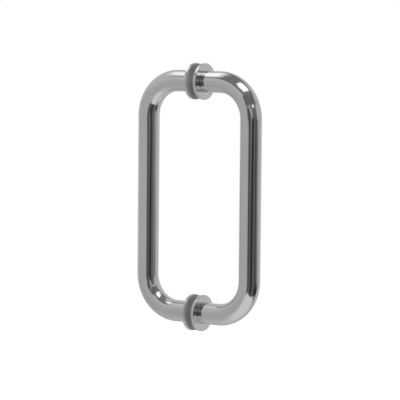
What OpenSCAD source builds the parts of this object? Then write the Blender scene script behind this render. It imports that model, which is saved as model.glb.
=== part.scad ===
// Pair of bent-tube pull handles, fixed back to back through two holes in a glass door.
// The glass stands in the plane X = 0, with the outer pull on +X and the inner pull on -X.
// Origin: middle of the glass, midway between the two holes. Z is up.
// Each joint is, from the glass outwards: gasket, washer, foot of the tube. A stud screwed
// into the outer pull runs through the glass in a plastic sleeve, and the inner pull is
// locked on its free end by a set screw.

/* [Door] */
// Distance between the two holes in the glass, centre to centre
hole_spacing = 203; // [150:1:600]
// Thickness of the glass
glass_t = 6; // [5:0.5:12]

/* [Pull tube] */
// Outside diameter of the tube
tube_d = 19; // [17:0.5:25]
// Wall of the tube
tube_wall = 1.5; // [1:0.1:2]
// Radius of each bend, to the centreline of the tube
bend_r = 31.5; // [24:0.5:45]
// Straight length of each leg, from its foot to its bend
leg_l = 16; // [15:0.5:40]
// Chamfer round the outside of each foot
foot_chamfer = 0.25; // [0.1:0.05:0.5]

/* [Washers] */
// Diameter of the metal washers
washer_d = 32; // [28:0.5:40]
// Thickness of the metal washers
washer_t = 2.4; // [1.5:0.1:5]
// Radius on the outer edges of the metal washers
washer_edge = 0.5; // [0.2:0.1:0.7]
// Gap all round between a washer's bore and the stud
washer_gap = 0.25; // [0.1:0.05:0.5]

/* [Gaskets] */
// Diameter of the soft gaskets
gasket_d = 31.6; // [27:0.2:40]
// Thickness of the soft gaskets
gasket_t = 0.8; // [0.5:0.1:2]
// Gap all round between a gasket's bore and the sleeve
gasket_gap = 0.2; // [0.1:0.05:0.5]

/* [Sleeves] */
// Outside diameter of the plastic sleeves that line the holes in the glass
sleeve_d = 12; // [11:0.5:14]
// Gap all round between a sleeve's bore and the stud
sleeve_gap = 0.15; // [0.05:0.05:0.3]
// Gap between each end of a sleeve and the washer that it faces
sleeve_end_gap = 0.3; // [0.1:0.1:0.4]
// Chamfer on the ends of the sleeves
sleeve_chamfer = 0.3; // [0.1:0.1:0.5]

/* [Inserts] */
// Length of the turned inserts fixed in the ends of the tubes
insert_l = 14; // [13:0.5:14.5]
// Solid end left behind each insert's bore
insert_floor = 2.5; // [1.5:0.5:3]
// Depth of each insert's face inside the foot of its tube
insert_recess = 0.4; // [0.1:0.1:0.5]
// Solder gap all round between an insert and its tube
insert_gap = 0.03; // [0.02:0.01:0.1]
// Chamfer on the edges of an insert and on the mouth of its bore
insert_chamfer = 0.6; // [0.3:0.1:0.8]

/* [Studs] */
// Diameter of the studs
stud_d = 8; // [7:0.5:9]
// Chamfer on the ends of the studs
stud_chamfer = 0.8; // [0.3:0.1:1]
// Gap all round between a stud and an insert's bore
stud_gap = 0.06; // [0.03:0.01:0.1]
// Gap between the end of a stud and the floor of an insert's bore
stud_end_gap = 0.5; // [0.2:0.1:1]
// Width across flats of the key socket in a stud's free end
stud_key = 4; // [3:0.5:4]
// Depth of the key socket in a stud's free end
stud_key_depth = 3; // [2:0.5:3.5]

/* [Set screws] */
// Diameter of the set screws
screw_d = 5; // [4:0.5:5]
// Distance of the set screws from the foot of the inner pull
screw_in = 5.5; // [5:0.1:6]
// Depth of a set screw's head below the surface of the tube
screw_sink = 0.5; // [0.3:0.1:0.8]
// Radius of the flat tip of a set screw
screw_tip_r = 1; // [0.6:0.1:1.2]
// Width across flats of a set screw's key socket
screw_key = 2.5; // [1.5:0.5:2.5]
// Depth of a set screw's key socket
screw_key_depth = 2; // [1.5:0.1:2.2]
// Gap all round between a set screw and its hole
screw_gap = 0.05; // [0.03:0.01:0.1]
// Depth of the groove that a set screw's point locks in
groove_depth = 0.8; // [0.5:0.1:1]

/* [Hidden] */
$fn = 96;

// Length by which a cutting tool runs past the faces that it opens
past = 1;

// Which way a piece lies from the middle: the side of the door, then the end of the pull
outer = 1;
inner = -1;
top = 1;
bottom = -1;

// Places along X, from the middle of the glass outwards
glass_x = glass_t / 2;
gasket_x = glass_x + gasket_t;
foot_x = gasket_x + washer_t;
bend_x = foot_x + leg_l;
grip_x = bend_x + bend_r;

// Places along Z
hole_z = hole_spacing / 2;
grip_z = hole_z - bend_r;

// The tube's bore and what it holds
tube_bore_d = tube_d - 2 * tube_wall;
insert_d = tube_bore_d - 2 * insert_gap;
insert_x = foot_x + insert_recess;
insert_bore_d = stud_d + 2 * stud_gap;
insert_bore_l = insert_l - insert_floor;
stud_x = insert_x + insert_bore_l - stud_end_gap;

// The set screw runs outwards along -Z from its tip, in the stud's groove, to its sunk head
screw_x = foot_x + screw_in;
groove_r = stud_d / 2 - groove_depth;
screw_tip_z = groove_r + screw_gap;
screw_head_z = tube_d / 2 - screw_sink;
screw_hole_d = screw_d + 2 * screw_gap;

// Diameter of the circle through the corners of a six-sided socket, from its width across flats
function across_corners(flats) = flats / cos(30);

// Places a piece that is drawn on the Z axis, growing away from the glass, at one of the joints
module at_joint(side, end, x) {
    translate([side * x, 0, end * hole_z])
        rotate([0, side * 90, 0])
            children();
}

// Round bar along the centreline of a pull on +X, its two feet lengthened by extra
module bent_bar(d, extra = 0) {
    for (half = [0, 1])
        mirror([0, 0, half]) {
            translate([foot_x - extra, 0, hole_z])
                rotate([0, 90, 0])
                    cylinder(d = d, h = leg_l + extra);
            translate([bend_x, 0, grip_z])
                rotate([90, 0, 0])
                    rotate_extrude(angle = 90)
                        translate([bend_r, 0])
                            circle(d = d);
        }
    translate([grip_x, 0, -grip_z])
        cylinder(d = d, h = 2 * grip_z);
}

// Ring that takes the outer corner off the foot of a tube standing on the XY plane
module foot_trim() {
    rotate_extrude()
        polygon([
            [tube_d / 2 - foot_chamfer, 0],
            [tube_d / 2, foot_chamfer],
            [tube_d / 2 + past, foot_chamfer],
            [tube_d / 2 + past, -past],
            [tube_d / 2 - foot_chamfer, -past],
        ]);
}

// Hollow tube with two square bends, open at its feet
module bent_tube() {
    difference() {
        bent_bar(tube_d);
        bent_bar(tube_bore_d, past);
        for (end = [top, bottom])
            at_joint(outer, end, foot_x)
                foot_trim();
    }
}

// Straight hole for a set screw, square to the stud, from its axis down through the tube
module screw_hole(end) {
    translate([-screw_x, 0, end * hole_z - tube_d])
        cylinder(d = screw_hole_d, h = tube_d);
}

// Metal disc with rounded outer edges
module washer() {
    edge_x = washer_d / 2 - washer_edge;
    rotate_extrude()
        difference() {
            union() {
                square([edge_x, washer_t]);
                translate([0, washer_edge])
                    square([washer_d / 2, washer_t - 2 * washer_edge]);
                for (y = [washer_edge, washer_t - washer_edge])
                    translate([edge_x, y])
                        circle(r = washer_edge);
            }
            translate([0, -past])
                square([stud_d / 2 + washer_gap, washer_t + 2 * past]);
        }
}

// Soft flat ring between a washer and the glass
module gasket() {
    difference() {
        cylinder(d = gasket_d, h = gasket_t);
        translate([0, 0, -past])
            cylinder(d = sleeve_d + 2 * gasket_gap, h = gasket_t + 2 * past);
    }
}

// Turned plug with a blind bore that opens on the XY plane
module insert() {
    insert_r = insert_d / 2;
    bore_r = insert_bore_d / 2;
    rotate_extrude()
        polygon([
            [0, insert_bore_l],
            [bore_r, insert_bore_l],
            [bore_r, insert_chamfer],
            [bore_r + insert_chamfer, 0],
            [insert_r - insert_chamfer, 0],
            [insert_r, insert_chamfer],
            [insert_r, insert_l - insert_chamfer],
            [insert_r - insert_chamfer, insert_l],
            [0, insert_l],
        ]);
}

// Insert of the inner pull, with the cross hole for its set screw
module locking_insert(end) {
    difference() {
        at_joint(inner, end, insert_x)
            insert();
        screw_hole(end);
    }
}

// Rod from one insert's bore to the other, with a groove round it under the set screw
module stud(end) {
    stud_r = stud_d / 2;
    tip = screw_tip_r + screw_gap;
    difference() {
        translate([0, 0, end * hole_z])
            rotate([0, -90, 0])
                rotate_extrude()
                    polygon([
                        [0, -stud_x],
                        [stud_r - stud_chamfer, -stud_x],
                        [stud_r, stud_chamfer - stud_x],
                        [stud_r, screw_x - tip - groove_depth],
                        [groove_r, screw_x - tip],
                        [groove_r, screw_x + tip],
                        [stud_r, screw_x + tip + groove_depth],
                        [stud_r, stud_x - stud_chamfer],
                        [stud_r - stud_chamfer, stud_x],
                        [0, stud_x],
                    ]);
        at_joint(inner, end, stud_x - stud_key_depth)
            cylinder(d = across_corners(stud_key), h = stud_key_depth + past, $fn = 6);
    }
}

// Plastic bush that keeps the stud off the glass, centred on the middle of the door
module sleeve(end) {
    half_l = gasket_x - sleeve_end_gap;
    sleeve_r = sleeve_d / 2;
    bore_r = stud_d / 2 + sleeve_gap;
    translate([0, 0, end * hole_z])
        rotate([0, 90, 0])
            rotate_extrude()
                polygon([
                    [bore_r, -half_l],
                    [sleeve_r - sleeve_chamfer, -half_l],
                    [sleeve_r, sleeve_chamfer - half_l],
                    [sleeve_r, half_l - sleeve_chamfer],
                    [sleeve_r - sleeve_chamfer, half_l],
                    [bore_r, half_l],
                ]);
}

// Headless screw with a coned point that sits in the stud's groove, and a key socket below
module set_screw(end) {
    screw_l = screw_head_z - screw_tip_z;
    point_l = screw_d / 2 - screw_tip_r;
    translate([-screw_x, 0, end * hole_z - screw_head_z])
        difference() {
            union() {
                cylinder(d = screw_d, h = screw_l - point_l);
                translate([0, 0, screw_l - point_l])
                    cylinder(r1 = screw_d / 2, r2 = screw_tip_r, h = point_l);
            }
            translate([0, 0, -past])
                cylinder(d = across_corners(screw_key), h = screw_key_depth + past, $fn = 6);
        }
}

module outer_pull() color("silver") bent_tube();

module inner_pull() color("silver")
    difference() {
        mirror([1, 0, 0]) bent_tube();
        for (end = [top, bottom])
            screw_hole(end);
    }

module outer_top_washer() color("gainsboro") at_joint(outer, top, gasket_x) washer();
module outer_bottom_washer() color("gainsboro") at_joint(outer, bottom, gasket_x) washer();
module inner_top_washer() color("gainsboro") at_joint(inner, top, gasket_x) washer();
module inner_bottom_washer() color("gainsboro") at_joint(inner, bottom, gasket_x) washer();

module outer_top_gasket() color("dimgray") at_joint(outer, top, glass_x) gasket();
module outer_bottom_gasket() color("dimgray") at_joint(outer, bottom, glass_x) gasket();
module inner_top_gasket() color("dimgray") at_joint(inner, top, glass_x) gasket();
module inner_bottom_gasket() color("dimgray") at_joint(inner, bottom, glass_x) gasket();

module outer_top_insert() color("goldenrod") at_joint(outer, top, insert_x) insert();
module outer_bottom_insert() color("goldenrod") at_joint(outer, bottom, insert_x) insert();
module inner_top_insert() color("goldenrod") locking_insert(top);
module inner_bottom_insert() color("goldenrod") locking_insert(bottom);

module top_stud() color("slategray") stud(top);
module bottom_stud() color("slategray") stud(bottom);

module top_sleeve() color("whitesmoke") sleeve(top);
module bottom_sleeve() color("whitesmoke") sleeve(bottom);

module top_set_screw() color("black") set_screw(top);
module bottom_set_screw() color("black") set_screw(bottom);

outer_pull();
inner_pull();
outer_top_washer();
outer_bottom_washer();
inner_top_washer();
inner_bottom_washer();
outer_top_gasket();
outer_bottom_gasket();
inner_top_gasket();
inner_bottom_gasket();
outer_top_insert();
outer_bottom_insert();
inner_top_insert();
inner_bottom_insert();
top_stud();
bottom_stud();
top_sleeve();
bottom_sleeve();
top_set_screw();
bottom_set_screw();
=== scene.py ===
# Back-to-back pull handles for a glass door, chromed and clamped, dressed for a picture.
# The sections follow the pull as it is put together: tubes, washers, gaskets, inserts, studs,
# sleeves and set screws, and then the studio and the camera. Lengths are in metres.
import math

import bpy
import numpy as np
from mathutils import Matrix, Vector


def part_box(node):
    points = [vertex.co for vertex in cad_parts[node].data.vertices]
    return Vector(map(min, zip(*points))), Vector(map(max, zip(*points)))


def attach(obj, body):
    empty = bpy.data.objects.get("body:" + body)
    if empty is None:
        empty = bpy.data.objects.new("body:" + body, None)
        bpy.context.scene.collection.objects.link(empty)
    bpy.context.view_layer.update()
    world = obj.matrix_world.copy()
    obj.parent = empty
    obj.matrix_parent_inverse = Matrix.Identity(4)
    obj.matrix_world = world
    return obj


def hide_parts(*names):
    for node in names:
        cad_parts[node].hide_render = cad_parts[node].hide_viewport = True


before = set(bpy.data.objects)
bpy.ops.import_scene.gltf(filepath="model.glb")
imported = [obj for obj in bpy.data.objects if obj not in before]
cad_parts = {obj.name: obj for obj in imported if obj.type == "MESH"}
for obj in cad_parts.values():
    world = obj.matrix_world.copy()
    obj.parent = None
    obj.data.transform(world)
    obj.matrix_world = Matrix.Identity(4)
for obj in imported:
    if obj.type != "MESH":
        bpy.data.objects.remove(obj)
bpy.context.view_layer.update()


# The two pulls. Each is one brass tube with two square bends, polished and chrome plated. The
# feet are cut square and deburred. Under each leg of the inner pull is a hole for a set screw.
# The surface is a closed outline of the tube's wall, carried along the bent centreline.
MM = 0.001
OUTER, INNER = 1, -1
TOP, BOTTOM = 1, -1
SIDES = {"outer": OUTER, "inner": INNER}
ENDS = {"top": TOP, "bottom": BOTTOM}

tube_low, tube_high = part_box("outer_pull")
washer_low, washer_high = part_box("outer_top_washer")
hole_z = (washer_low.z + washer_high.z) / 2
tube_r = tube_high.z - hole_z
foot_x = tube_low.x
grip_x = tube_high.x - tube_r
tube_wall = 1.5 * MM
bore_r = tube_r - tube_wall
bend_r = 31.5 * MM
leg_l = grip_x - bend_r - foot_x
grip_l = 2 * (hole_z - bend_r)
bend_l = bend_r * math.pi / 2
tube_l = 2 * (leg_l + bend_l) + grip_l
foot_chamfer = 0.4 * MM
foot_edge = 0.06 * MM
foot_bore_edge = 0.12 * MM
foot_hold = 0.04 * MM
foot_land = 0.7 * MM
port_in = 5.5 * MM
port_r = 2.55 * MM
port_edge = 0.2 * MM

# The wall's grid: columns round the tube, rows of a bend and of half a grip, and two rows on the
# plain part of a leg. The rest of the leg is a block of even steps round a set-screw hole, in
# rings counted from the hole's middle: RIM is the ring on the hole's edge, and BLOCK the last.
around_tube = 128
bend_rows = 61
grip_rows = 24
leg_rows = (12 * MM, 14 * MM)
PITCH = 0.6 * MM
RIM, BLOCK = 5, 8


def rounded_line(corners, steps=5, hold=0.12 * MM):
    """Open line through corners (a, b, radius), its first and last point kept as they are.
    Between them each corner is an arc that touches both of its sides: the arc's centre lies on the
    corner's bisector, radius / sin(half the corner's angle) away. Seen from there, the point at t
    is the arc's two ends times sin((1 - t) sweep) and sin(t sweep), over sin(sweep). A point at
    hold past each end of the arc, or at a share of a short side, keeps the side flat."""
    side_share = 0.3
    corners = np.array(corners, float)
    place, radius = corners[1:-1, :2], corners[1:-1, 2:]
    back = corners[:-2, :2] - place
    ahead = corners[2:, :2] - place
    back_l = np.linalg.norm(back, axis=1, keepdims=True)
    ahead_l = np.linalg.norm(ahead, axis=1, keepdims=True)
    back, ahead = back / back_l, ahead / ahead_l
    half = np.arccos(np.clip((back * ahead).sum(1, keepdims=True), -1, 1)) / 2
    reach = radius / np.tan(half)
    bisector = back + ahead
    bisector /= np.linalg.norm(bisector, axis=1, keepdims=True)
    centre = place + bisector * radius / np.sin(half)
    start, stop = place + back * reach, place + ahead * reach
    sweep = (math.pi - 2 * half)[:, None]
    t = np.linspace(0, 1, steps)[None, :, None]
    from_start = np.sin((1 - t) * sweep) * (start - centre)[:, None]
    from_stop = np.sin(t * sweep) * (stop - centre)[:, None]
    arc = centre[:, None] + (from_start + from_stop) / np.sin(sweep)
    before = start + back * np.minimum(hold, side_share * (back_l - reach))
    after = stop + ahead * np.minimum(hold, side_share * (ahead_l - reach))
    line = np.concatenate([before[:, None], arc, after[:, None]], axis=1).reshape(-1, 2)
    return np.vstack([corners[:1, :2], line, corners[-1:, :2]])


def ring_cells(rows, columns):
    """Four-sided cells of a grid that closes on itself both ways, as point numbers."""
    here = np.arange(rows * columns).reshape(rows, columns)
    down = np.roll(here, -1, axis=0)
    return np.stack([here, down, np.roll(down, -1, axis=1), np.roll(here, -1, axis=1)], axis=-1)


# Points nearer than WELD become one, and an edge that turns by more than SHARP_FROM shades sharp
WELD = 1e-7
SHARP_FROM = math.radians(35)


def make_piece(name, points, cells):
    """Mesh object from points and four-sided cells. Points in one place are welded, a cell with two
    welded corners becomes a triangle, and a mesh of negative volume is turned right side out. The
    volume is a sixth of the sum of a . (b x c) over its triangles."""
    points, cells = points.reshape(-1, 3), cells.reshape(-1, 4)
    used = np.unique(cells)
    renumber = np.zeros(len(points), np.int64)
    renumber[used] = np.arange(len(used))
    points, cells = points[used], renumber[cells]
    places = np.round(points / WELD)
    _, first, number = np.unique(places, axis=0, return_index=True, return_inverse=True)
    points, cells = points[first], number.reshape(-1)[cells]
    keep = cells != np.roll(cells, 1, axis=1)
    sides = keep.sum(axis=1)
    quads = cells[sides == 4]
    triangles = cells[sides == 3][keep[sides == 3]].reshape(-1, 3)
    halves = np.vstack([quads[:, [0, 1, 2]], quads[:, [0, 2, 3]], triangles])
    a, b, c = points[halves[:, 0]], points[halves[:, 1]], points[halves[:, 2]]
    if (a * np.cross(b, c)).sum() < 0:
        quads, triangles = quads[:, ::-1], triangles[:, ::-1]
    corners = np.concatenate([quads.ravel(), triangles.ravel()])
    starts = np.concatenate([np.arange(len(quads)) * 4, quads.size + np.arange(len(triangles)) * 3])
    mesh = bpy.data.meshes.new(name)
    mesh.vertices.add(len(points))
    mesh.vertices.foreach_set("co", points.astype(np.float32).ravel())
    mesh.loops.add(len(corners))
    mesh.loops.foreach_set("vertex_index", corners.astype(np.int32))
    mesh.polygons.add(len(starts))
    mesh.polygons.foreach_set("loop_start", starts.astype(np.int32))
    mesh.polygons.foreach_set("use_smooth", np.ones(len(starts), bool))
    mesh.update(calc_edges=True)
    mesh.validate()
    mesh.set_sharp_from_angle(angle=SHARP_FROM)
    piece = bpy.data.objects.new(name, mesh)
    bpy.context.scene.collection.objects.link(piece)
    return piece


def drill(along, turn, radius, at, hole_turn, skin_r, edge):
    """Bends a block of the wall's grid round a drilled hole, in place. Gives which points are in
    the block, and each one's ring and its direction from the hole's middle. A point's ring is the
    larger of its two steps. The ring at RIM becomes the hole's circle, sunk by the broken edge,
    the next ring is the circle round that edge, the last stays square, and those between are
    shared out. In plan the hole is round, so its turn angle is arcsin(y / skin_r)."""
    rows = np.abs(along[:, 0] - at) < (BLOCK + 0.5) * PITCH
    rows &= np.abs(radius[:, 0] - skin_r) < WELD
    row = np.round((along[:, :1] - at) / PITCH)
    off = np.angle(np.exp(1j * (turn - hole_turn)))
    column = np.round(off * around_tube / (2 * math.pi))
    ring = np.maximum(np.abs(row), np.abs(column))
    block = rows[:, None] & (ring <= BLOCK)
    angle = np.arctan2(column, row)
    share = np.clip((ring - RIM - 1) / (BLOCK - RIM - 1), 0, 1)
    circle = np.where(ring > RIM, port_r + edge, port_r)
    x = (1 - share) * circle * np.cos(angle) + share * row * PITCH
    y = (1 - share) * circle * np.sin(angle) + share * skin_r * np.sin(off)
    along[block] = (at + x)[block]
    turn[block] = (hole_turn + np.arcsin(np.clip(y / skin_r, -1, 1)))[block]
    sunk = block & (ring <= RIM)
    radius[sunk] -= edge
    return block, ring, angle


def centreline(along, turn, radius):
    """Points on the tube, for a distance along its bent centreline, a turn round it and a radius.
    The heading grows by distance / bend_r in each bend. A point is the centreline's point, plus
    radius times the in-plane normal times cos(turn), plus radius times Y times sin(turn)."""
    start_2 = leg_l + bend_l + grip_l
    leg_1 = np.minimum(along, leg_l)
    bend_1 = np.clip(along - leg_l, 0, bend_l) / bend_r
    grip = np.clip(along - leg_l - bend_l, 0, grip_l)
    bend_2 = np.clip(along - start_2, 0, bend_l) / bend_r
    leg_2 = np.maximum(along - start_2 - bend_l, 0)
    heading = bend_1 + bend_2
    x = foot_x + leg_1 + bend_r * (np.sin(bend_1) - 1 + np.cos(bend_2)) - leg_2
    z = hole_z - bend_r * (1 - np.cos(bend_1) + np.sin(bend_2)) - grip
    x = x + radius * np.cos(turn) * np.sin(heading)
    z = z + radius * np.cos(turn) * np.cos(heading)
    return np.stack([x, radius * np.sin(turn), z], axis=-1)


def bent_tube(name, side, ported):
    """Wall outline (distance along, radius): round one foot, along the outside, round the other
    foot and back along the bore. Carried round the centreline, it closes on itself both ways. In a
    ported tube a ring of cells joins each hole's circle outside to the one in the bore."""
    foot = rounded_line([
        (foot_land, bore_r, 0),
        (0, bore_r, foot_bore_edge),
        (0, tube_r - foot_chamfer, foot_edge),
        (foot_chamfer, tube_r, foot_edge),
        (foot_land, tube_r, 0),
    ], steps=4, hold=foot_hold)
    leg = port_in + PITCH * np.arange(-BLOCK, BLOCK + 1)
    bend = leg_l + np.linspace(0, bend_l, bend_rows)
    grip = np.linspace(leg_l + bend_l, tube_l / 2, grip_rows)[1:]
    half = np.concatenate([leg, leg_rows, bend, grip])
    skin = np.concatenate([half, tube_l - half[-2::-1]])
    along = np.concatenate([foot[:, 0], skin, tube_l - foot[::-1, 0], skin[::-1]])
    radius = np.concatenate([foot[:, 1], skin * 0 + tube_r, foot[::-1, 1], skin * 0 + bore_r])
    turns = 2 * math.pi * np.arange(around_tube) / around_tube
    along, turn = np.meshgrid(along, turns, indexing="ij")
    radius = np.repeat(radius[:, None], around_tube, axis=1)
    number = np.arange(along.size).reshape(along.shape)
    cells = ring_cells(*along.shape).reshape(-1, 4)
    walls = []
    if ported:
        for at, hole_turn in ((port_in, math.pi), (tube_l - port_in, 0)):
            rims = []
            for skin_r, edge in ((tube_r, port_edge), (bore_r, 0)):
                block, ring, angle = drill(along, turn, radius, at, hole_turn, skin_r, edge)
                rim = block & (ring == RIM)
                rims.append(number[rim][np.argsort(angle[rim])])
                inside = np.isin(cells, number[block & (ring <= RIM)]).all(axis=1)
                cells = cells[~inside]
            outside, bore = rims
            wall = [outside, np.roll(outside, -1), np.roll(bore, -1), bore]
            walls.append(np.stack(wall, axis=-1))
    cells = np.vstack([cells, *walls])
    return make_piece(name, centreline(along, turn, radius) * (side, 1, 1), cells)


# Numbers of a Mix node's sockets: its share, its two numbers, its two colours and their mixture
MIX_SHARE = 0
MIX_NUMBERS = (2, 3)
MIX_COLOURS = (6, 7)
MIX_COLOUR_OUT = 2


class Flow:
    """What comes out of a shader node's socket. Arithmetic on it adds Math nodes to its tree."""

    def __init__(self, tree, socket=None):
        self.tree = tree
        self.socket = socket

    def node(self, kind, settings=None, inputs=None, output=0):
        """Adds a node: its settings first, then its sockets' values or links. Gives one output."""
        made = self.tree.nodes.new(kind)
        for name, value in (settings or {}).items():
            setattr(made, name, value)
        for name, value in (inputs or {}).items():
            if isinstance(value, Flow):
                self.tree.links.new(value.socket, made.inputs[name])
            else:
                made.inputs[name].default_value = value
        return Flow(self.tree, made.outputs[output])

    def beside(self, output):
        """Another output of the node that this one comes out of."""
        return Flow(self.tree, self.socket.node.outputs[output])

    def math(self, operation, *values):
        return self.node("ShaderNodeMath", {"operation": operation}, dict(enumerate(values)))

    def ramp(self, low, high, start=0.0, stop=1.0):
        """Goes smoothly from start to stop as this goes from low to high, and stays there."""
        inputs = {"Value": self, "From Min": low, "From Max": high, "To Min": start, "To Max": stop}
        return self.node("ShaderNodeMapRange", {"interpolation_type": "SMOOTHSTEP"}, inputs)

    def between(self, *numbers):
        """The first of two numbers where this is 0, the second where it is 1, and mixed between."""
        return self.node("ShaderNodeMix", inputs={MIX_SHARE: self, **dict(zip(MIX_NUMBERS, numbers))})

    def colour(self, first, second, share):
        """Colour between two colours, by the share."""
        inputs = {MIX_SHARE: share, **dict(zip(MIX_COLOURS, (first, second)))}
        return self.node("ShaderNodeMix", {"data_type": "RGBA"}, inputs, MIX_COLOUR_OUT)

    def noise(self, where, scale, detail=2.0):
        inputs = {"Vector": where, "Scale": scale, "Detail": detail}
        return self.node("ShaderNodeTexNoise", inputs=inputs)

    def stripes(self, scale):
        """Noise that changes with this number alone: rings, where the number is a radius."""
        line = self.node("ShaderNodeCombineXYZ", inputs={"X": self})
        return self.noise(line, scale)

    def bump(self, strength, distance):
        """Normal of a surface that has this for its height."""
        inputs = {"Strength": strength, "Distance": distance, "Height": self}
        return self.node("ShaderNodeBump", inputs=inputs)

    def __add__(self, other):
        return self.math("ADD", self, other)

    def __sub__(self, other):
        return self.math("SUBTRACT", self, other)

    def __mul__(self, other):
        return self.math("MULTIPLY", self, other)

    def __rsub__(self, other):
        return self.math("SUBTRACT", other, self)

    __radd__ = __add__
    __rmul__ = __mul__


def grey(level):
    return (level, level, level, 1.0)


def blank(made):
    """Empties the node tree of a new material or world, and gives the start of its flows."""
    made.use_nodes = True
    made.node_tree.nodes.clear()
    return Flow(made.node_tree)


def show(shader, kind="ShaderNodeOutputMaterial"):
    """Ends a shader's tree in its output node."""
    target = shader.tree.nodes.new(kind)
    shader.tree.links.new(shader.socket, target.inputs["Surface"])


def finish(name, inputs):
    """Material of one Principled shader. inputs is a function that takes the tree's start and the
    Object coordinates, and gives the shader's values and links by socket name."""
    made = bpy.data.materials.new(name)
    start = blank(made)
    where = start.node("ShaderNodeTexCoord", output="Object")
    show(start.node("ShaderNodeBsdfPrincipled", inputs=inputs(start, where)))
    return made


# The two greys of the plate, and the fineness and height of its hair lines
plate_greys = (grey(0.585), grey(0.615))
hair_scale = (900.0, 900.0, 60.0)
hair_height = 0.15


def polished_tube(start, where):
    """Mirror chrome: faint clouds of polish, hair lines along the grip and a hint of ripple."""
    cloud = start.noise(where, scale=45.0, detail=3.0)
    stretched = start.node("ShaderNodeMapping", inputs={"Vector": where, "Scale": hair_scale})
    hair = start.noise(stretched, scale=1.0)
    ripple = start.noise(where, scale=38.0, detail=1.0)
    height = hair * hair_height + ripple
    return {
        "Base Color": start.colour(*plate_greys, cloud.ramp(0.3, 0.7)),
        "Metallic": 1.0,
        "Roughness": cloud.ramp(0.35, 0.75, 0.02, 0.05) + hair.ramp(0.55, 0.8, 0.0, 0.04),
        "Normal": height.bump(strength=0.2, distance=0.02 * MM),
    }


chrome = finish("polished_chrome", polished_tube)
for side_name, side in SIDES.items():
    pull = bent_tube(side_name + "_pull_tube", side, side == INNER)
    pull.data.materials.append(chrome)
    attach(pull, "root")
    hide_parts(side_name + "_pull")


# The four washers. Each is a flat disc turned from brass bar, its outer edges rounded, then
# polished and chromed. The tube's foot stands on it, and it spreads the clamp's load.
washer_bore_r = 4.25 * MM
washer_bore_edge = 0.15 * MM
washer_edge = 0.5 * MM


def flat_ring(low, high, bore_r, bore_edge, edge, steps=5):
    """Outline (x, radius) of a flat ring with rounded corners that fills a box, given by the box's
    low and high corner. It starts and ends in the middle of the bore."""
    middle = (low.x + high.x) / 2
    rim = (high.z - low.z) / 2
    return rounded_line([
        (middle, bore_r, 0),
        (high.x, bore_r, bore_edge),
        (high.x, rim, edge),
        (low.x, rim, edge),
        (low.x, bore_r, bore_edge),
        (middle, bore_r, 0),
    ], steps)


def turned(name, side, end, outline, around=144):
    """Solid of revolution round a joint's axis, of an outline (x, radius) that closes on itself. x
    is the distance from the middle of the glass. A point is x, radius times sin(turn), and radius
    times cos(turn) above the axis."""
    turn = 2 * math.pi * np.arange(around) / around
    x, r = outline[:, :1], outline[:, 1:]
    points = np.broadcast_arrays(side * x, r * np.sin(turn), end * hole_z + r * np.cos(turn))
    return make_piece(name, np.stack(points, axis=-1), ring_cells(len(outline), around))


def from_joint_axis(start, where):
    """Distance of a point from the axis of the joint that it belongs to."""
    x = start.node("ShaderNodeSeparateXYZ", inputs={"Vector": where})
    y, z = x.beside("Y"), x.beside("Z")
    height = z.math("ABSOLUTE", z) - hole_z
    return height.math("SQRT", y * y + height * height)


def polished_disc(start, where):
    """Chrome with the turning marks of the brass under it: rings that differ a little in height."""
    rings = from_joint_axis(start, where).stripes(5200.0)
    cloud = start.noise(where, scale=120.0, detail=3.0)
    return {
        "Base Color": start.colour(*plate_greys, cloud.ramp(0.3, 0.7)),
        "Metallic": 1.0,
        "Roughness": cloud.ramp(0.3, 0.8, 0.03, 0.07) + rings.ramp(0.5, 0.75, 0.0, 0.05),
        "Normal": rings.bump(strength=0.25, distance=0.004 * MM),
    }


washer_chrome = finish("washer_chrome", polished_disc)
washer_line = flat_ring(washer_low, washer_high, washer_bore_r, washer_bore_edge, washer_edge, steps=8)
for side_name, side in SIDES.items():
    for end_name, end in ENDS.items():
        node = f"{side_name}_{end_name}_washer"
        washer = turned(node + "_disc", side, end, washer_line)
        washer.data.materials.append(washer_chrome)
        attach(washer, "root")
        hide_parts(node)


# The four gaskets. Each is a ring stamped from soft vinyl sheet, between a washer and the glass, a
# little smaller than the washer. Its edges are slightly rounded by the stamping. Its grey is
# painted shade: the clear sheet is coloured dark grey for the shade of the narrow gap.
gasket_low, gasket_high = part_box("outer_top_gasket")
gasket_bore_r = 6.2 * MM
gasket_bore_edge = 0.1 * MM
gasket_edge = 0.18 * MM


def clear_vinyl(start, where):
    """Unpigmented vinyl with a painted-shade base colour: a dark grey that stands in for the shade of
    the gap, cloudy at random, with a matt skin and the soft waves of rolled sheet."""
    cloud = start.noise(where, scale=150.0, detail=3.0)
    waves = start.noise(where, scale=420.0, detail=1.0)
    return {
        # The base colour is painted shade: dark grey for clear vinyl in the shade of the gap
        "Base Color": start.colour(grey(0.27), grey(0.34), cloud.ramp(0.3, 0.7)),
        "Roughness": cloud.ramp(0.3, 0.7, 0.28, 0.4),
        "IOR": 1.52,
        "Normal": waves.bump(strength=0.1, distance=0.02 * MM),
    }


vinyl = finish("clear_vinyl", clear_vinyl)
gasket_line = flat_ring(gasket_low, gasket_high, gasket_bore_r, gasket_bore_edge, gasket_edge)
for side_name, side in SIDES.items():
    for end_name, end in ENDS.items():
        node = f"{side_name}_{end_name}_gasket"
        gasket = turned(node + "_ring", side, end, gasket_line)
        gasket.data.materials.append(vinyl)
        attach(gasket, "root")
        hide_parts(node)


# The four inserts. Each is a plug turned from brass bar and soldered inside a foot of a tube,
# with a bore for the stud. They keep their solid's shape and get bare turned brass.
clean_brass = (0.72, 0.56, 0.30, 1.0)
stained_brass = (0.52, 0.38, 0.19, 1.0)


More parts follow.
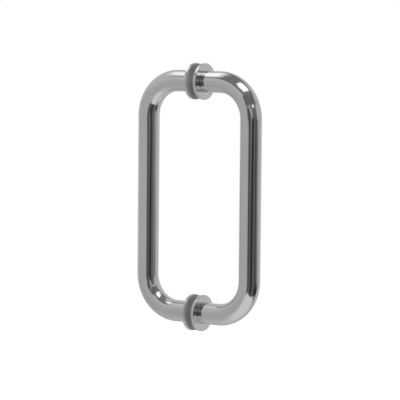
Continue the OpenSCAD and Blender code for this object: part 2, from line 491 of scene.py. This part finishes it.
def turned_brass(start, where):
    """Brass with fine turning marks across its axis, duller where the solder's flux ran."""
    x = start.node("ShaderNodeSeparateXYZ", inputs={"Vector": where})
    rings = x.stripes(6000.0)
    stain = start.noise(where, scale=260.0, detail=4.0)
    return {
        "Base Color": start.colour(clean_brass, stained_brass, stain.ramp(0.45, 0.75)),
        "Metallic": 1.0,
        "Roughness": stain.ramp(0.4, 0.8, 0.22, 0.45),
        "Normal": rings.bump(strength=0.5, distance=0.01 * MM),
    }


def dress(node, material):
    """Gives a solid that keeps its shape its finish."""
    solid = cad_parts[node]
    solid.data.materials.clear()
    solid.data.materials.append(material)


brass = finish("turned_brass", turned_brass)
for side_name in SIDES:
    for end_name in ENDS:
        dress(f"{side_name}_{end_name}_insert", brass)


# The two studs. Each is a steel rod through the glass, threaded into the outer insert, with a
# groove for the set screw and a key socket at its other end. The steel is bright zinc plated.
cool_zinc = (0.56, 0.58, 0.61, 1.0)


def bright_zinc(start, where):
    """Zinc plate: cool grey, slightly clouded, over fine marks of the lathe."""
    x = start.node("ShaderNodeSeparateXYZ", inputs={"Vector": where})
    rings = x.stripes(4200.0)
    cloud = start.noise(where, scale=320.0, detail=3.0)
    return {
        "Base Color": start.colour(cool_zinc, grey(0.66), cloud),
        "Metallic": 1.0,
        "Roughness": cloud.ramp(0.3, 0.7, 0.2, 0.34),
        "Normal": rings.bump(strength=0.5, distance=0.01 * MM),
    }


zinc = finish("zinc_plated_steel", bright_zinc)
for end_name in ENDS:
    dress(end_name + "_stud", zinc)


# The two sleeves. Each is a bush moulded from natural nylon, round the stud where it passes
# through the glass, with a small chamfer on its ends.
sleeve_low, sleeve_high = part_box("top_sleeve")
sleeve_r = (sleeve_high.z - sleeve_low.z) / 2
sleeve_bore_r = 4.15 * MM
sleeve_chamfer = 0.3 * MM
sleeve_edge = 0.1 * MM
nylon_shades = ((0.82, 0.82, 0.78, 1.0), (0.87, 0.87, 0.83, 1.0))


def milky_nylon(start, where):
    """Natural nylon: off-white, faintly uneven, with a soft moulded skin."""
    cloud = start.noise(where, scale=210.0, detail=3.0)
    skin = start.noise(where, scale=3000.0)
    return {
        "Base Color": start.colour(*nylon_shades, cloud),
        "Roughness": cloud.ramp(0.3, 0.7, 0.38, 0.5),
        "Normal": skin.bump(strength=0.3, distance=0.02 * MM),
    }


nylon = finish("natural_nylon", milky_nylon)
sleeve_line = rounded_line([
    (0, sleeve_bore_r, 0),
    (sleeve_high.x, sleeve_bore_r, sleeve_edge),
    (sleeve_high.x, sleeve_r - sleeve_chamfer, sleeve_edge),
    (sleeve_high.x - sleeve_chamfer, sleeve_r, sleeve_edge),
    (sleeve_low.x + sleeve_chamfer, sleeve_r, sleeve_edge),
    (sleeve_low.x, sleeve_r - sleeve_chamfer, sleeve_edge),
    (sleeve_low.x, sleeve_bore_r, sleeve_edge),
    (0, sleeve_bore_r, 0),
])
for end_name, end in ENDS.items():
    sleeve = turned(end_name + "_sleeve_bush", OUTER, end, sleeve_line)
    sleeve.data.materials.append(nylon)
    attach(sleeve, "root")
    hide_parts(end_name + "_sleeve")


# The two set screws. Each is a headless steel screw with a coned point and a key socket, run up
# from below through the inner pull's leg into the groove of the stud. The steel is blackened.
def black_oxide(start, where):
    """Blackened steel: near black, with a slight oily unevenness."""
    cloud = start.noise(where, scale=700.0, detail=3.0)
    return {
        "Base Color": start.colour(grey(0.05), grey(0.08), cloud),
        "Metallic": 0.8,
        "Roughness": cloud.ramp(0.3, 0.7, 0.3, 0.5),
    }


black = finish("black_steel", black_oxide)
for end_name in ENDS:
    dress(end_name + "_set_screw", black)


# The studio. A pale floor lies well below, and the world is plain white. Only reflections see the
# tent, a white ball round the pull. Boards are laid over it, one over another: white and grey
# ones, dark ones in front, and lamps. They are placed in degrees, as seen from the pull.
VIEW_AZIMUTH, VIEW_ELEVATION = math.radians(34), math.radians(4.93)
DEGREES = 180 / math.pi
tent_r = 0.7
tent_white = 0.58


def tent_ball(rows=48, columns=96):
    """Sphere round the origin: x = r sin(t) cos(u), y = r sin(t) sin(u), z = r cos(t)."""
    t = np.linspace(0, math.pi, rows)[:, None]
    u = 2 * math.pi * np.arange(columns) / columns
    points = np.broadcast_arrays(np.sin(t) * np.cos(u), np.sin(t) * np.sin(u), np.cos(t))
    return make_piece("studio_tent", tent_r * np.stack(points, axis=-1), ring_cells(rows, columns)[:-1])


tent_finish = bpy.data.materials.new("studio_tent")
start = blank(tent_finish)
where = start.node("ShaderNodeTexCoord", output="Object")
towards_lens = {"Vector": where, "Angle": -VIEW_AZIMUTH}
facing = start.node("ShaderNodeVectorRotate", {"rotation_type": "Z_AXIS"}, towards_lens)
right = start.node("ShaderNodeSeparateXYZ", inputs={"Vector": facing})
away, up = right.beside("Y"), right.beside("Z")
elevation = up.math("ARCSINE", up * (1 / tent_r)) * DEGREES

# The turn from the lens to the right, from -180 to 180, and again from 0 to 360
azimuth = right.math("ARCTAN2", right, away * -1.0) * DEGREES
full_azimuth = azimuth + azimuth.math("LESS_THAN", azimuth, 0.0) * 360.0


def over_edge(turn, ends, heights, soft):
    """0 below a board's edge and 1 above it, with a soft change. The edge is level, or straight
    between the heights at the board's two ends, or bowed through a third height at its middle.
    Along it, across goes from -1 to 1 and a little on, and a bow is a share of across squared."""
    if len(heights) == 1:
        return elevation.ramp(heights[0] - soft / 2, heights[0] + soft / 2)
    furthest = 1.25
    across = (turn - (ends[0] + ends[1]) / 2) * (2 / (ends[1] - ends[0]))
    across = across.math("MINIMUM", across.math("MAXIMUM", across, -furthest), furthest)
    mean = (heights[0] + heights[-1]) / 2
    middle = heights[1] if len(heights) == 3 else mean
    edge = across * ((heights[-1] - heights[0]) / 2) + across * across * (mean - middle) + middle
    return (elevation - edge).ramp(-soft / 2, soft / 2)


def board(light, strength, ends=None, low=None, high=None, soft=4, fade=10):
    """What the tent shows once a board is laid over the light it showed so far. The ends are
    turns, low and high are the heights of the board's lower and upper edge, soft is how far those
    edges fade, and fade is how far its ends do."""
    share = 1.0
    turn = full_azimuth if ends and ends[1] > 180 else azimuth
    if ends:
        share = turn.ramp(ends[0] - fade / 2, ends[0] + fade / 2)
        share = share * turn.ramp(ends[1] - fade / 2, ends[1] + fade / 2, 1.0, 0.0)
    if low:
        share = over_edge(turn, ends, low, soft) * share
    if high:
        share = (1.0 - over_edge(turn, ends, high, soft)) * share
    return share.between(light, strength)


# On the white wall, a lit strip at the right, a lit band high at the left with a dim one low
# under it, and the back, lit most in its middle
light = board(tent_white, 0.72, ends=(106, 122), fade=18)
light = board(light, 0.68, ends=(-152, -14), low=(18,), high=(50,), soft=22, fade=42)
light = board(light, 0.54, ends=(-122, -42), low=(-36,), high=(-13,), soft=8)
light = board(light, 0.72, ends=(127, 236), low=(-27,), high=(41,), soft=30, fade=18)
light = board(light, 0.8, ends=(139, 230), low=(-17,), high=(10,), soft=20, fade=24)
# White boards under the pull, the brighter one towards the front
light = board(light, 0.8, high=(-66,), soft=50)
light = board(light, 0.9, ends=(-42, 128), high=(-40, -22, -85), soft=28, fade=56)
# Grey boards overhead, in three parts
light = board(light, 0.25, ends=(-132, 102), low=(58, 33, 48), soft=3)
light = board(light, 0.43, ends=(101, 125), low=(39, 77), soft=3, fade=3)
light = board(light, 0.245, ends=(112, 243), low=(58,), soft=8, fade=4)
# Dark boards in front: a wide one, another over its upper half, and four that are nearly black
light = board(light, 0.175, ends=(-12, 77), low=(-23, -37, -34), high=(30, 41, 59), soft=3, fade=22)
light = board(light, 0.195, ends=(-32, 64), low=(3, 6, 20), high=(25, 46, 34), soft=3, fade=11)
light = board(light, 0.06, ends=(-21, -5), low=(-25,), high=(30, 8), soft=3, fade=20)
light = board(light, 0.024, ends=(8, 30), low=(-26, -37), high=(6,), soft=3, fade=25)
light = board(light, 0.03, ends=(50, 57), low=(-37,), high=(10,), soft=3, fade=4)
light = board(light, 0.01, ends=(55, 92), low=(-31, -46), high=(-16,), soft=28, fade=7)
# Four paler boards over the dark ones, and a small lamp among them
light = board(light, 0.42, ends=(-38, 5), low=(0, 18, 5), high=(12, 20, 27), soft=3, fade=3)
light = board(light, 0.42, ends=(-1, 20), low=(12,), high=(21,), soft=5, fade=7)
light = board(light, 2.5, ends=(28, 44), low=(27, 27), high=(29, 31), soft=6, fade=16)
light = board(light, 0.6, ends=(3, 24), low=(0, 24), high=(18,), soft=30, fade=8)
light = board(light, 0.66, ends=(63, 94), low=(4,), high=(30,), soft=8, fade=22)
# Two big lamps overhead, with a grey flag at the left end of the one in front
light = board(light, 2.2, ends=(-18, 81), low=(42, 57, 56), high=(64, 76, 73), soft=6, fade=22)
light = board(light, 0.29, ends=(-36, -2), low=(33, 45), high=(49, 52), soft=6, fade=18)
light = board(light, 1.56, ends=(191, 280), low=(58, 48), high=(78, 68), soft=20, fade=32)
show(start.node("ShaderNodeEmission", inputs={"Strength": light}))
tent = tent_ball()
tent.data.materials.append(tent_finish)
for kind in ("camera", "diffuse", "transmission", "volume_scatter", "shadow"):
    setattr(tent, "visible_" + kind, False)

# The floor is painted on top and clear from below. Where the camera sees it, it glows a little
floor_z = -0.8
floor_half = 6.0
floor_lift = 0.26
floor_finish = bpy.data.materials.new("pale_floor")
start = blank(floor_finish)
where = start.node("ShaderNodeTexCoord", output="Object")
paint = start.colour(grey(0.955), grey(0.965), start.noise(where, scale=3.0, detail=4.0))
matt = start.node("ShaderNodeBsdfDiffuse", inputs={"Color": paint})
seen = start.node("ShaderNodeLightPath", output="Is Camera Ray")
lift = start.node("ShaderNodeEmission", inputs={"Strength": seen * floor_lift})
white = start.node("ShaderNodeAddShader", inputs={0: matt, 1: lift})
under = start.node("ShaderNodeNewGeometry", output="Backfacing")
clear = start.node("ShaderNodeBsdfTransparent")
show(start.node("ShaderNodeMixShader", inputs={0: under, 1: white, 2: clear}))
floor_mesh = bpy.data.meshes.new("studio_floor")
corners = [(x * floor_half, y * floor_half, floor_z) for x, y in ((-1, -1), (1, -1), (1, 1), (-1, 1))]
floor_mesh.from_pydata(corners, [], [(0, 1, 2, 3)])
floor = bpy.data.objects.new("studio_floor", floor_mesh)
bpy.context.scene.collection.objects.link(floor)
floor.data.materials.append(floor_finish)

# The world is white to the eye and in reflections, and lights matt surfaces a little less
sky_light = 0.8
world = bpy.data.worlds.new("studio_world")
bpy.context.scene.world = world
start = blank(world)
rays = start.node("ShaderNodeLightPath", output="Is Camera Ray")
seen = rays
for kind in ("Is Glossy Ray", "Is Transmission Ray"):
    seen = seen.math("MAXIMUM", seen, rays.beside(kind))
strength = seen.ramp(0.0, 1.0, sky_light, 1.0)
sky = start.node("ShaderNodeBackground", inputs={"Color": grey(1.0), "Strength": strength})
show(sky, "ShaderNodeOutputWorld")

# One soft lamp overhead, in front and to the right, which reflections don't show
lamp_data = bpy.data.lights.new("soft_lamp", "AREA")
lamp_data.shape = "DISK"
lamp_data.size = 0.9
lamp_data.energy = 4.0
lamp = bpy.data.objects.new("soft_lamp", lamp_data)
lamp.location = (0.25, -0.45, 1.1)
lamp.rotation_euler = (math.radians(22), math.radians(12), 0)
lamp.visible_glossy = False
bpy.context.scene.collection.objects.link(lamp)


# The camera. It stands where the photograph was taken from, well in front, a little above and
# towards the outer pull's side. It looks at the middle of the glass, with a slight roll and shift.
camera_distance = 2.235
camera_roll = math.radians(0.52)
back = np.array([
    math.sin(VIEW_AZIMUTH) * math.cos(VIEW_ELEVATION),
    -math.cos(VIEW_AZIMUTH) * math.cos(VIEW_ELEVATION),
    math.sin(VIEW_ELEVATION),
])
level = np.array([math.cos(VIEW_AZIMUTH), math.sin(VIEW_AZIMUTH), 0.0])
upright = np.cross(back, level)
rightwards = level * math.cos(camera_roll) + upright * math.sin(camera_roll)
upwards = upright * math.cos(camera_roll) - level * math.sin(camera_roll)
camera_data = bpy.data.cameras.new("camera")
camera_data.lens = 229.9
camera_data.sensor_width = 36.0
camera_data.shift_x = 0.00325
camera_data.shift_y = -0.0065
camera = bpy.data.objects.new("camera", camera_data)
standing = np.eye(4)
standing[:3, :3] = np.stack([rightwards, upwards, back], axis=1)
standing[:3, 3] = back * camera_distance
camera.matrix_world = Matrix(standing.tolist())
bpy.context.scene.collection.objects.link(camera)
bpy.context.scene.camera = camera
bpy.context.scene.view_settings.view_transform = "Standard"
